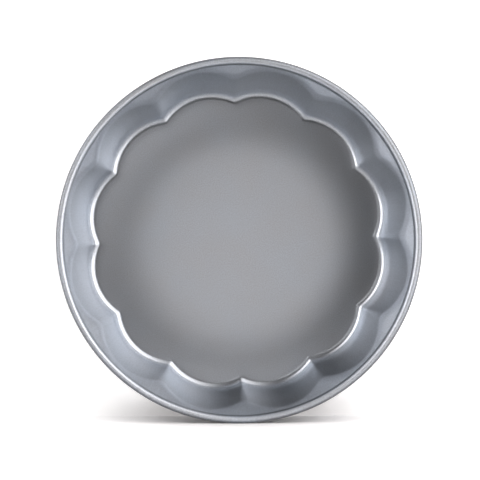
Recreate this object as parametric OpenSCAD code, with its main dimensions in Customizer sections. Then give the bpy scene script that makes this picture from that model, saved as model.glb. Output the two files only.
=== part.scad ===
// Round cake pan with a flower-shaped floor.
// One sheet of steel is drawn into a ring of upright flutes that stand on a flat floor.
// A round flared band above them swallows the flutes, so the rim is a plain circle,
// and the edge of the sheet is rolled outwards round a hoop of steel wire.
// The pan stands on its floor, with its middle on the Z axis.

/* [Rim] */
// Diameter of the pan over its rolled rim
rim_d = 260; // [256:0.5:270]
// Height from the table to the top of the rim
pan_h = 55; // [50:0.5:65]
// Diameter of the steel wire inside the rim
wire_d = 3.5; // [2.5:0.1:4.5]
// Gap between the wire and the sheet that is rolled round it
wire_gap = 0.1; // [0.05:0.01:0.25]
// How far round the wire the sheet is rolled, in degrees
curl_sweep = 300; // [250:5:315]
// Gap where the two ends of the wire meet
wire_joint = 0.8; // [0.3:0.1:3]

/* [Sheet] */
// Thickness of the steel sheet
sheet_t = 0.7; // [0.4:0.05:1]

/* [Flutes] */
// Number of flutes round the wall
flutes = 12; // [11:1:14]
// Distance from the middle of the pan to the middle of a flute
flute_c = 68; // [65:0.5:70]
// Radius of a flute at the floor, measured to the corner before it is rounded
flute_r = 42.9; // [41:0.1:45]
// How far inside the neck the tip of a flute ends, at the foot of the neck
flute_inset = 0.6; // [0.5:0.05:2]
// Radius between the floor and the wall of a flute
floor_fillet = 6; // [3:0.25:8]

/* [Flared band] */
// Lean of the round band above the flutes, in degrees from upright
band_lean = 37.6; // [35:0.2:41]
// Height of the upright neck, from the band's corner to the middle of the wire
neck_h = 4.25; // [3.5:0.05:5]
// Radius between the flared band and the neck
neck_fillet = 3.5; // [2:0.25:4.5]

/* [Hidden] */
$fn = 96;

// Extra length that one solid runs past another where it cuts it
overrun = 1;
// Steps of the arc at the floor and of the one below the neck
fillet_steps = 8;
neck_steps = 4;

// The bead is the wire, the gap round it and the sheet
curl_in_r = wire_d / 2 + wire_gap;
curl_out_r = curl_in_r + sheet_t;
bead_c = rim_d / 2 - curl_out_r;
bead_z = pan_h - curl_out_r;

// The neck and the flared band meet at this corner, before it is rounded
neck_r = bead_c - curl_out_r;
corner_z = bead_z - neck_h;

// The wall of a flute leans from the corner at the floor to just inside the neck
flute_rise = corner_z - sheet_t;
flute_spread = neck_r - flute_inset - flute_c - flute_r;
flute_lean = atan(flute_spread / flute_rise);

// Middle of the arc between the floor and the wall of a flute, and of the one below the neck
fillet_r = flute_r - floor_fillet * tan((90 - flute_lean) / 2);
fillet_z = sheet_t + floor_fillet;
neck_arc_r = neck_r - neck_fillet;
neck_arc_z = corner_z + neck_fillet * tan(band_lean / 2);

// Points of an arc in even steps, from one direction to another in degrees.
function arc_points(middle, r, from, to, steps) = [
  for (i = [0 : steps])
    let (a = from + (to - from) * i / steps) middle + r * [cos(a), sin(a)]
];

// The outline of one flute from its own middle: floor, rounded corner and leaning wall.
// skin is zero for the inside of the sheet and the thickness of the sheet for its outside.
module flute_outline(skin) {
  arc_r = floor_fillet + skin;
  floor_z = sheet_t - skin;
  corner = arc_points([fillet_r, fillet_z], arc_r, -90, -flute_lean, fillet_steps);
  foot = corner[fillet_steps];
  top_r = foot[0] + (corner_z - foot[1]) * tan(flute_lean);
  polygon(concat([[0, floor_z]], corner, [[top_r, corner_z], [0, corner_z]]));
}

// The outline of the round body from the middle of the pan: floor, flared band, rounded corner and neck.
module band_outline(skin, top_z) {
  arc_r = neck_fillet + skin;
  floor_z = sheet_t - skin;
  corner = arc_points([neck_arc_r, neck_arc_z], arc_r, -band_lean, 0, neck_steps);
  floor_r = corner[0][0] - (corner[0][1] - floor_z) * tan(band_lean);
  polygon(concat([[0, floor_z], [floor_r, floor_z]], corner, [[neck_r + skin, top_z], [0, top_z]]));
}

// The fluted form up to a height, as one side of the sheet bounds it.
// Each flute is the outer half of a turn about its own middle; the round body fills the rest.
module pressed_form(skin, top_z) {
  rotate_extrude() band_outline(skin, top_z);
  for (i = [0 : flutes - 1]) {
    facing = (i + 0.5) * 360 / flutes;
    translate([flute_c * cos(facing), flute_c * sin(facing), 0])
      rotate_extrude(angle = 180, start = facing - 90)
        flute_outline(skin);
  }
}

// A wedge over the stretch of the bead that the rolled edge leaves open, seen from its middle.
module bead_opening() {
  reach = 2 * curl_out_r;
  polygon([
    [0, 0],
    [reach * cos(curl_sweep - 180), -reach * sin(curl_sweep - 180)],
    [reach * cos(curl_sweep / 2), -reach * sin(curl_sweep / 2)],
    [-reach, 0]
  ]);
}

// The edge of the sheet, rolled over the wire and back under it.
module rolled_edge() {
  rotate_extrude()
    translate([bead_c, bead_z])
      difference() {
        circle(curl_out_r);
        circle(curl_in_r);
        bead_opening();
      }
}

// The pressed sheet, from its flat floor to its rolled edge.
module pan_shell() {
  color([0.47, 0.49, 0.52]) {
    difference() {
      pressed_form(sheet_t, bead_z);
      pressed_form(0, bead_z + overrun);
    }
    rolled_edge();
  }
}

// The hoop of wire in the rim, bent round until its ends nearly meet.
module rim_wire() {
  joint_turn = wire_joint / bead_c * 180 / PI;
  color([0.62, 0.63, 0.64])
    rotate_extrude(angle = 360 - joint_turn, start = 90 + joint_turn / 2)
      translate([bead_c, bead_z])
        circle(wire_d / 2);
}

pan_shell();
rim_wire();
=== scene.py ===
import math

import bmesh
import bpy
from mathutils import Matrix, Vector


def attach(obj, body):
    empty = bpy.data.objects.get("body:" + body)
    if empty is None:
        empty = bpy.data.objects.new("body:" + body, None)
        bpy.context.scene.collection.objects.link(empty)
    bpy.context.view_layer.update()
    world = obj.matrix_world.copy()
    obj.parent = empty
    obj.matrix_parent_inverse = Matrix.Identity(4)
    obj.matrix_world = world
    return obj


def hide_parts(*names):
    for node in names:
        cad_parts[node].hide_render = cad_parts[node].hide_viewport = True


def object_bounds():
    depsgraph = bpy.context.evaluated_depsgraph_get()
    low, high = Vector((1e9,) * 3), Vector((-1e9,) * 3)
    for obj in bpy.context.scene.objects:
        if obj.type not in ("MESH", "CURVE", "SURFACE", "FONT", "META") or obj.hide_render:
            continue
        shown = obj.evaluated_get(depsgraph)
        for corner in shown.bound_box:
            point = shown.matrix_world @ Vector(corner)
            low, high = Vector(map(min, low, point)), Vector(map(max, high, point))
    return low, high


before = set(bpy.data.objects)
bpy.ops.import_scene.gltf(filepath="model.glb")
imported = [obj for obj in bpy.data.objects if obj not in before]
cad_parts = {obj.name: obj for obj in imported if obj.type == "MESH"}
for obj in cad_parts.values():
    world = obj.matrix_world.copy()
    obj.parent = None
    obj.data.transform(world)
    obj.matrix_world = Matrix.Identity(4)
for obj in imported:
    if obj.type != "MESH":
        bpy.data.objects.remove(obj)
cad_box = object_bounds()

# Camera
# The picture looks straight into the open pan from 1.2 m, from a little left of its middle.
# Up in the picture is the -Y side of the pan, turned a little, as the flutes are in the picture.
camera_distance = 1.2
camera_left = 0.044
camera_lens = 127.3
film_width = 36
picture_turn = math.radians(1.467)

rim_middle = Vector((0, 0, cad_box[1][2]))
picture_right = Vector((-math.cos(picture_turn), math.sin(picture_turn), 0))
picture_up = Vector((-math.sin(picture_turn), -math.cos(picture_turn), 0))

camera_at = rim_middle + Vector((0, 0, camera_distance)) - picture_right * camera_left
look_back = (camera_at - rim_middle).normalized()
look_right = (picture_right - look_back * picture_right.dot(look_back)).normalized()
look_up = look_back.cross(look_right)

camera_data = bpy.data.cameras.new("camera")
camera_data.sensor_width = film_width
camera_data.lens = camera_lens
camera = bpy.data.objects.new("camera", camera_data)
camera.location = camera_at
camera.rotation_euler = Matrix((look_right, look_up, look_back)).transposed().to_euler()
bpy.context.collection.objects.link(camera)
bpy.context.scene.camera = camera
bpy.context.scene.view_settings.view_transform = "Standard"


# Floor and photo ground
# The pan lies on a plain pale floor. In the picture it also stands on the edge of its rim, on a white
# ground: that is the upright sheet of paper at the rim's foot, which is seen from its front side alone.
mm = 0.001
floor_size = 12
floor_drop = 0.05 * mm
ground_width = 0.9
ground_height = 0.36
paper_colour = (0.86, 0.86, 0.86, 1)
glow_strength = 0.5
glow_start = 45 * mm
glow_end = 120 * mm
touch_length = 0.2 * mm

rim_radius = cad_box[1][0]
foot = picture_up * -rim_radius


class Shade:
    """A socket of a material's nodes. Sums, differences and products of sockets add Math nodes."""

    def __init__(self, tree, socket=None):
        self.tree = tree
        self.socket = socket

    def node(self, kind, settings=None, sockets=None, out=0):
        """Add a node: first its settings, such as a ramp's stops, then its sockets' values or links."""
        new = self.tree.nodes.new(kind)
        for name, value in (settings or {}).items():
            if name == "stops":
                while len(new.color_ramp.elements) < len(value):
                    new.color_ramp.elements.new(0.5)
                for stop, (place, grey) in zip(new.color_ramp.elements, value):
                    stop.position = place
                    stop.color = (grey, grey, grey, 1)
            else:
                setattr(new, name, value)
        for name, value in (sockets or {}).items():
            if isinstance(value, Shade):
                self.tree.links.new(value.socket, new.inputs[name])
            else:
                new.inputs[name].default_value = value
        return Shade(self.tree, new.outputs[out] if len(new.outputs) else None)

    def maths(self, operation, other, swapped=False):
        """Join this socket and another, or a number, with a Math node."""
        values = {0: other, 1: self} if swapped else {0: self, 1: other}
        return self.node("ShaderNodeMath", {"operation": operation}, values)

    def __add__(self, other):
        return self.maths("ADD", other)

    def __sub__(self, other):
        return self.maths("SUBTRACT", other)

    def __mul__(self, other):
        return self.maths("MULTIPLY", other)

    def __rsub__(self, other):
        return self.maths("SUBTRACT", other, swapped=True)

    __radd__ = __add__
    __rmul__ = __mul__

    def rise(self, low, high):
        """Zero below low, one above high, with a smooth step between."""
        return self.node("ShaderNodeMapRange", {"interpolation_type": "SMOOTHSTEP"},
                         {"Value": self, "From Min": low, "From Max": high})

    def noise(self, scale, detail):
        """Noise at this place, about from -0.5 to 0.5."""
        return self.node("ShaderNodeTexNoise",
                         sockets={"Vector": self, "Scale": scale, "Detail": detail}) - 0.5


def pale_paper(name):
    """Matt white paper that keeps the pan's shadow. A glow that the camera alone sees makes it plain white
    further from the rim's foot. It is clear from behind, and clear to a face that lies on it."""
    paper = bpy.data.materials.new(name)
    paper.use_nodes = True
    paper.node_tree.nodes.clear()
    start = Shade(paper.node_tree)
    to_camera = start.node("ShaderNodeLightPath", out="Is Camera Ray")
    place = start.node("ShaderNodeNewGeometry", out="Position")
    offset = start.node("ShaderNodeVectorMath", {"operation": "SUBTRACT"}, {0: place, 1: foot})
    # A step along Y, up or down the picture, counts as four, so the glow begins close to the ground's line
    offset = start.node("ShaderNodeVectorMath", {"operation": "MULTIPLY"}, {0: offset, 1: (1, 4, 1)})
    distance = start.node("ShaderNodeVectorMath", {"operation": "LENGTH"}, {0: offset}, out="Value")
    # Near the rim's foot the glow is withheld, so the paper shows darker there: partly the pan's real
    # shadow, partly painted shadow from the glow's mask
    glow = to_camera * distance.rise(glow_start, glow_end) * glow_strength
    matt = start.node("ShaderNodeBsdfDiffuse", sockets={"Color": paper_colour})
    bright = start.node("ShaderNodeEmission", sockets={"Color": glow, "Strength": 1.0})
    front = start.node("ShaderNodeAddShader", sockets={0: matt, 1: bright})
    behind = start.node("ShaderNodeNewGeometry", out="Backfacing")
    touching = start.node("ShaderNodeLightPath", out="Ray Length").maths("LESS_THAN", touch_length)
    clear = start.node("ShaderNodeBsdfTransparent")
    surface = start.node("ShaderNodeMixShader",
                         sockets={0: behind.maths("MAXIMUM", touching), 1: front, 2: clear})
    start.node("ShaderNodeOutputMaterial", sockets={"Surface": surface})
    return paper


def new_piece(shape, name):
    """Turn a finished bmesh into an object of the scene."""
    piece = bpy.data.objects.new(name, bpy.data.meshes.new(name))
    shape.to_mesh(piece.data)
    shape.free()
    bpy.context.collection.objects.link(piece)
    return piece


sheet = bmesh.new()
bmesh.ops.create_grid(sheet, x_segments=1, y_segments=1, size=floor_size / 2)
bmesh.ops.translate(sheet, vec=(0, 0, -floor_drop), verts=sheet.verts)
floor = new_piece(sheet, "floor")
floor.data.materials.append(pale_paper("floor_paper"))

sheet = bmesh.new()
bmesh.ops.create_grid(sheet, x_segments=1, y_segments=1, size=0.5)
bmesh.ops.scale(sheet, vec=(ground_width, ground_height, 1), verts=sheet.verts)
bmesh.ops.translate(sheet, vec=(0, ground_height / 2, 0), verts=sheet.verts)
stand_up = Matrix((-picture_right, Vector((0, 0, 1)), picture_up)).transposed()
bmesh.ops.rotate(sheet, matrix=stand_up, verts=sheet.verts)
bmesh.ops.translate(sheet, vec=foot, verts=sheet.verts)
ground = new_piece(sheet, "photo_ground")
ground.data.materials.append(pale_paper("ground_paper"))


# Studio light
# A dark room with one broad pale lobe to the right of the picture and one to its left, a small soft spot
# near the lens, light from below the horizon and a faint even fill. The camera sees the room plain white.
light_colour = (1.04, 0.995, 0.985, 1)
room_white = (1, 1, 1, 1)
lobe_strength = 4.6
spot_strength = 3.1
below_strength = 0.8
fill_strength = 0.04

# Places in the room: clock angles go anticlockwise in the picture from its right, leans go from overhead
right_clock = 12.7
left_clock = 173
spot_clock = 124
spot_lean = 8.7
spot_edge = math.cos(math.radians(6.3))
spot_core = math.cos(math.radians(2.5))
level_lean = 90

# How bright each lobe is at a height in the room, from 0 at the horizon to 1 overhead
right_heights = [(0, 0.04), (0.2, 0.62), (0.42, 1), (0.6, 0.36), (0.7, 0.69), (0.82, 0.69), (0.92, 0)]
left_heights = [(0, 0.5), (0.2, 0.2), (0.42, 0.96), (0.6, 0.96), (0.7, 0), (0.82, 0), (0.92, 0.25),
                (0.97, 0)]

# How closely a direction points to a lobe, or how far it points down, from dark to fully bright
right_spread = (0, 1)
left_spread = (0.4, 1)
below_spread = (0, 0.3)

room = bpy.data.worlds.new("room")
room.use_nodes = True
room.node_tree.nodes.clear()
sky = Shade(room.node_tree)


def toward(clock, lean):
    """The direction at a clock angle and a lean, in degrees."""
    outward = picture_right * math.cos(math.radians(clock)) + picture_up * math.sin(math.radians(clock))
    return outward * math.sin(math.radians(lean)) + Vector((0, 0, math.cos(math.radians(lean))))


def along(vector, aim):
    """How closely a direction of the room points to an aim: 1 is straight at it."""
    return sky.node("ShaderNodeVectorMath", {"operation": "DOT_PRODUCT"}, {0: vector, 1: aim}, out="Value")


direction = sky.node("ShaderNodeTexCoord", out="Generated")
height = sky.node("ShaderNodeSeparateXYZ", sockets={0: direction}, out="Z")
level = sky.node("ShaderNodeVectorMath", {"operation": "MULTIPLY"}, {0: direction, 1: (1, 1, 0)})
level = sky.node("ShaderNodeVectorMath", {"operation": "NORMALIZE"}, {0: level})
right_ring = sky.node("ShaderNodeValToRGB", {"stops": right_heights}, {0: height})
left_ring = sky.node("ShaderNodeValToRGB", {"stops": left_heights}, {0: height})
right_lobe = along(level, toward(right_clock, level_lean)).rise(*right_spread)
left_lobe = along(level, toward(left_clock, level_lean)).rise(*left_spread)
spot = along(direction, toward(spot_clock, spot_lean)).rise(spot_edge, spot_core)
below = (0 - height).rise(*below_spread)
strength = (right_ring * right_lobe + left_ring * left_lobe) * lobe_strength \
    + spot * spot_strength + below * below_strength + fill_strength
light = sky.node("ShaderNodeBackground", sockets={"Color": light_colour, "Strength": strength})
white = sky.node("ShaderNodeBackground", sockets={"Color": room_white, "Strength": 1.0})
to_camera = sky.node("ShaderNodeLightPath", out="Is Camera Ray")
surface = sky.node("ShaderNodeMixShader", sockets={0: to_camera, 1: light, 2: white})
sky.node("ShaderNodeOutputWorld", sockets={"Surface": surface})
bpy.context.scene.world = room


# Pan shell
# One sheet of steel, pressed into twelve flutes on a flat floor and a round flared band, with its edge
# rolled over the wire. The food side has a grey metallic non-stick coat and the outside a darker, more
# matt one. Both are rolled on before pressing, so the cut edge under the rim is bare steel.
sheet_thickness = 0.7 * mm
flute_count = 12
flute_centre = 68 * mm
flute_radius = 42.9 * mm
flute_inset = 0.6 * mm
flute_end = 47 * mm
floor_corner = 6 * mm
neck_inside = 124.9 * mm
band_top = 48.2 * mm
band_lean = math.radians(37.6)
band_corner = 3.5 * mm
bead_centre = 127.45 * mm
bead_height = 52.45 * mm
bead_radius = 2.55 * mm
curl_sweep = math.radians(300)

# How softly the press leaves the creases: ridges at the floor and above ridge_height, and arches
foot_softness = 1.0 * mm
ridge_softness = 3.2 * mm
ridge_height = 30 * mm
arch_softness = 1.8 * mm

flute_lean = math.atan((neck_inside - flute_inset - flute_centre - flute_radius)
                       / (band_top - sheet_thickness))
corner_reach = flute_radius - floor_corner * math.tan(math.radians(45) - flute_lean / 2)
corner_top = sheet_thickness + floor_corner * (1 - math.sin(flute_lean))
flare_foot = neck_inside - band_top * math.tan(band_lean)
band_arc_middle = neck_inside - band_corner
band_arc_height = band_top + band_corner * math.tan(band_lean / 2)
band_arc_low = band_arc_height - band_corner * math.sin(band_lean)


def leaning_wall(z):
    """Radius of a flute about its own middle, on its straight part."""
    return flute_radius + (min(z, flute_end) - sheet_thickness) * math.tan(flute_lean)


def flared_band(z):
    """Radius of the round band about the middle of the pan, below its rounded corner."""
    return flare_foot + z * math.tan(band_lean)


def even(first, last, count):
    """Even steps from one value to another, without the first."""
    return [first + (last - first) * (i + 1) / count for i in range(count)]


# Each ring of the sheet: its share of the full outline, the flutes' radius, the round body's radius
# and its height. The sheet is one line through these rings, from the middle of the floor to its edge.
floor_shares = (0, 0.12, 0.3, 0.5, 0.7, 0.85, 0.95, 1)
corner_steps = 12
wall_middle = 34 * mm
lower_wall_steps = 20
upper_wall_steps = 26
band_corner_steps = 8
curl_steps = 32
rings = [(share, corner_reach, 0, sheet_thickness) for share in floor_shares]
for turn in even(0, math.pi / 2 - flute_lean, corner_steps):
    z = sheet_thickness + floor_corner * (1 - math.cos(turn))
    rings.append((1, corner_reach + floor_corner * math.sin(turn), flared_band(z), z))
for z in (even(corner_top, wall_middle, lower_wall_steps)
          + even(wall_middle, band_arc_low, upper_wall_steps)):
    rings.append((1, leaning_wall(z), flared_band(z), z))
for turn in even(-band_lean, 0, band_corner_steps):
    z = band_arc_height + band_corner * math.sin(turn)
    rings.append((1, leaning_wall(z), band_arc_middle + band_corner * math.cos(turn), z))
rings.append((1, 0, neck_inside, (band_arc_height + bead_height) / 2))
for turn in [math.pi] + even(math.pi, math.pi - curl_sweep, curl_steps):
    z = bead_height + bead_radius * math.sin(turn)
    rings.append((1, 0, bead_centre + bead_radius * math.cos(turn), z))


def soft_larger(a, b, softness):
    """The larger of two radii, with the crease between them rounded."""
    overlap = max(softness - abs(a - b), 0)
    return max(a, b) + overlap * overlap / (4 * softness)


def flute_reach(offset, radius):
    """Distance from the middle of the pan to a flute's wall, at an angle off the flute's own middle."""
    across = flute_centre * math.sin(offset)
    return flute_centre * math.cos(offset) + math.sqrt(radius * radius - across * across)


def outline(turn, radius, round_radius, z):
    """Distance from the middle of the pan to its wall in a direction. Ridges are softer further up."""
    if not radius:
        return round_radius
    pitch = 2 * math.pi / flute_count
    offset = abs(turn % pitch - pitch / 2)
    softness = foot_softness + (ridge_softness - foot_softness) * min(z / ridge_height, 1)
    wall = soft_larger(flute_reach(offset, radius), flute_reach(pitch - offset, radius), softness)
    return min(soft_larger(wall, round_radius, arch_softness), neck_inside)


# The line is spun about the axis with the number of each ring as its height. Then every point goes to
# its ring's own outline and height, with more points near the ridges.
turn_steps = 384
ridge_crowding = 0.75
weld_distance = 0.001 * mm
skin = bmesh.new()
line = [skin.verts.new((1, 0, i)) for i in range(len(rings))]
edges = [skin.edges.new(pair) for pair in zip(line, line[1:])]
bmesh.ops.spin(skin, geom=line + edges, cent=(0, 0, 0), axis=(0, 0, 1), angle=math.tau, steps=turn_steps,
               use_merge=True)
for point in skin.verts:
    share, radius, round_radius, z = rings[round(point.co.z)]
    turn = math.atan2(point.co.y, point.co.x)
    turn -= ridge_crowding / flute_count * math.sin(flute_count * turn)
    reach = share * outline(turn, radius, round_radius, z)
    point.co = (reach * math.cos(turn), reach * math.sin(turn), z)
bmesh.ops.remove_doubles(skin, verts=skin.verts, dist=weld_distance)
bmesh.ops.recalc_face_normals(skin, faces=skin.faces)
middle = min(skin.faces, key=lambda face: face.calc_center_median().length)
if middle.normal.z < 0:
    bmesh.ops.reverse_faces(skin, faces=skin.faces)

# The second skin gives the sheet its thickness. The faces that join the two at the edge are the cut.
food_coat, outer_coat, cut_metal = 0, 1, 2
food_side = set(skin.faces)
cut_line = {point for edge in skin.edges if edge.is_boundary for point in edge.verts}
bmesh.ops.solidify(skin, geom=skin.faces, thickness=sheet_thickness)
for face in skin.faces:
    in_cut = face not in food_side and len(cut_line.intersection(face.verts)) == 2
    face.smooth = not in_cut
    face.material_index = food_coat if face in food_side else outer_coat
    if in_cut:
        face.material_index = cut_metal
        for edge in face.edges:
            edge.smooth = False
pan = new_piece(skin, "pressed_pan")

food_grey = (0.428, 0.45, 0.48)
outer_grey = (0.268, 0.28, 0.298)
steel_grey = (0.56, 0.55, 0.53)

# The coat: sizes of its flakes, clouds, streaks and orange peel
flake_size = 0.7 * mm
mottle_size = 40 * mm
streak_count = 200
streak_stretch = 0.15
orange_peel_size = 1.6 * mm
orange_peel_depth = 0.012 * mm

# Where the coat changes, each from the start of the change to its end: first by height, then by reach
drawn_rise = (1 * mm, 5 * mm)
corner_end = (5 * mm, 11 * mm)
# Painted reflection: the round band between the flutes is lighter from here up
band_light_rise = (14 * mm, 30 * mm)
# Painted shade: where the upper flutes are darkened
flute_top = (20 * mm, 40 * mm)
# Painted shade: where the groove under the bead is darkened
groove_start = (47.5 * mm, 48.5 * mm)
groove_end = (52.8 * mm, 53.8 * mm)
rolled_rise = (52.6 * mm, 54 * mm)
floor_edge = (50 * mm, 95 * mm)
flute_side = (flare_foot + 0.3 * mm, flare_foot + 3 * mm)
groove_side = (125.7 * mm, 126.4 * mm)
# Painted shade: where the bead's turned-over outer side is darkened
turned_side = (127.4 * mm, 129 * mm)

# How much lighter or darker each mark makes the coat, and how much rougher. Several tones are painted
# light and shade, as marked
flake_tone = 0.6
mottle_tone = 0.1
streak_tone = 0.16
# Painted shade: darker in the groove under the bead
groove_shade_tone = -0.52
# Painted shade: darker on the bead's outer side
turned_shade_tone = -0.7
# Painted reflection on the band, and painted highlight along the floor's corner
painted_light_tone = 0.22
# Painted shade: darker high up in the flutes
flute_top_shade_tone = -0.1
blue_tint = (-0.03, 0, 0.03)
# Painted reflection: a bluer tone towards the floor's edge and up the walls
edge_reflection_tint = 0.2
mottle_roughness = 0.02
streak_roughness = 0.05
corner_roughness = 0.12
rolled_roughness = 0.15

# The bare metal: how its fine lines and its clouds show
line_tone = 0.3
line_roughness = 0.1
line_depth = 0.02 * mm
line_strength = 0.6
cloud_size = 3 * mm
cloud_tone = 0.2
cloud_roughness = 0.2


def new_metal(name):
    """A metal material and the start of its nodes."""
    metal = bpy.data.materials.new(name)
    metal.use_nodes = True
    metal.node_tree.nodes["Principled BSDF"].inputs["Metallic"].default_value = 1.0
    return metal, Shade(metal.node_tree)


def finish_metal(metal, tone, roughness, uneven):
    """Give a metal its tone, its roughness and its uneven surface."""
    surface = metal.node_tree.nodes["Principled BSDF"]
    for name, look in (("Base Color", tone), ("Roughness", roughness), ("Normal", uneven)):
        metal.node_tree.links.new(look.socket, surface.inputs[name])


def round_places(start):
    """Each point's place, its height, its distance from the pan's axis and its direction from it."""
    place = start.node("ShaderNodeTexCoord", out="Object")
    height = start.node("ShaderNodeSeparateXYZ", sockets={0: place}, out="Z")
    outward = start.node("ShaderNodeVectorMath", {"operation": "MULTIPLY"}, {0: place, 1: (1, 1, 0)})
    reach = start.node("ShaderNodeVectorMath", {"operation": "LENGTH"}, {0: outward}, out="Value")
    around = start.node("ShaderNodeVectorMath", {"operation": "NORMALIZE"}, {0: outward})
    return place, height, reach, around


def sheet_coating(name, colour, flat_roughness, edge_roughness, drawn_roughness):
    """Grey lacquer with a fine metal flake, smoother and faintly streaked where the press drew it."""
    coating, start = new_metal(name)
    place, height, reach, around = round_places(start)
    along_wall = start.node("ShaderNodeVectorMath", {"operation": "MULTIPLY_ADD"},
                            {0: place, 1: (0, 0, streak_stretch), 2: around})
    flake = place.noise(1 / flake_size, detail=1)
    mottle = place.noise(1 / mottle_size, detail=3)
    streak = along_wall.noise(streak_count, detail=2)
    orange_peel = place.noise(1 / orange_peel_size, detail=2)

    drawn = height.rise(*drawn_rise)
    corner = drawn * (1 - height.rise(*corner_end))
    edgeward = drawn.maths("MAXIMUM", reach.rise(*floor_edge))
    in_flute = (reach - height * math.tan(band_lean)).rise(*flute_side)
    # Painted reflection: the round band between the flutes is lighter
    band_painted_light = height.rise(*band_light_rise) * (1 - in_flute)
    # Painted shade: the coat is darker in the groove under the bead, where the neck lies in shade
    groove_shade = height.rise(*groove_start) * (1 - height.rise(*groove_end)) * (1 - reach.rise(*groove_side))
    rolled = height.rise(*rolled_rise)
    # Painted shade: the outer side of the rolled bead is darker
    turned_over_shade = reach.rise(*turned_side)

    # Flakes, clouds and streaks are the coat's own tone; the groove, turned-over, band, corner and
    # flute-top terms are painted light and shade. The corner's lighter tone is a painted highlight along
    # the floor's bright line
    shade = 1 + flake * flake_tone + mottle * mottle_tone + drawn * streak * streak_tone \
        + groove_shade * groove_shade_tone + turned_over_shade * turned_shade_tone + (band_painted_light + corner) * painted_light_tone \
        + drawn * in_flute * height.rise(*flute_top) * flute_top_shade_tone
    tone = start.node("ShaderNodeVectorMath", {"operation": "SCALE"}, {0: colour, "Scale": shade})
    # The blue tint follows the coat's flakes and clouds, and grows towards the floor's edge and up the
    # walls as a painted blue reflection
    tone = start.node("ShaderNodeVectorMath", {"operation": "MULTIPLY_ADD"},
                      {0: blue_tint, 1: mottle + flake + edgeward * edge_reflection_tint, 2: tone})
    roughness = flat_roughness - edgeward * (flat_roughness - edge_roughness) \
        + drawn * (drawn_roughness - edge_roughness) + mottle * mottle_roughness \
        + drawn * streak * streak_roughness + corner * corner_roughness + rolled * rolled_roughness
    uneven = start.node("ShaderNodeBump", sockets={"Strength": 1.0, "Distance": orange_peel_depth,
                                                   "Height": orange_peel})
    finish_metal(coating, tone, roughness, uneven)
    return coating


def bare_steel(name, colour, plain_roughness, line_width, line_length):
    """Uncoated steel with fine lines that run round the pan. Their width and length are in metres."""
    steel, start = new_metal(name)
    place, height, reach, around = round_places(start)
    turned = start.node("ShaderNodeVectorMath", {"operation": "SCALE"},
                        {0: around, "Scale": bead_centre * line_width / line_length})
    across = start.node("ShaderNodeCombineXYZ", sockets={0: reach, 2: height})
    drawn_out = start.node("ShaderNodeVectorMath", {"operation": "ADD"}, {0: across, 1: turned})
    lines = drawn_out.noise(1 / line_width, detail=2)
    cloud = place.noise(1 / cloud_size, detail=2)
    shade = 1 + lines * line_tone + cloud * cloud_tone
    tone = start.node("ShaderNodeVectorMath", {"operation": "SCALE"}, {0: colour, "Scale": shade})
    roughness = plain_roughness + cloud * cloud_roughness + lines * line_roughness
    uneven = start.node("ShaderNodeBump", sockets={"Strength": line_strength, "Distance": line_depth,
                                                   "Height": lines})
    finish_metal(steel, tone, roughness, uneven)
    return steel


pan.data.materials.append(sheet_coating("pan_coating", food_grey, flat_roughness=0.6,
                                        edge_roughness=0.28, drawn_roughness=0.33))
pan.data.materials.append(sheet_coating("outer_coating", outer_grey, flat_roughness=0.6,
                                        edge_roughness=0.52, drawn_roughness=0.52))
pan.data.materials.append(bare_steel("cut_steel", steel_grey, plain_roughness=0.32,
                                     line_width=0.12 * mm, line_length=1 * mm))

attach(pan, "root")
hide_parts("pan_shell")


# Rim wire
# A hoop of drawn and galvanised steel wire, 3.5 mm thick, that holds the rim round. Its two ends nearly
# meet, and nothing but the edge of the sheet rolled round it holds it. The solid itself is shown.
zinc_grey = (0.56, 0.57, 0.58)

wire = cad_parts["rim_wire"]
wire.data.materials.clear()
wire.data.materials.append(bare_steel("wire_zinc", zinc_grey, plain_roughness=0.42,
                                      line_width=0.1 * mm, line_length=12 * mm))
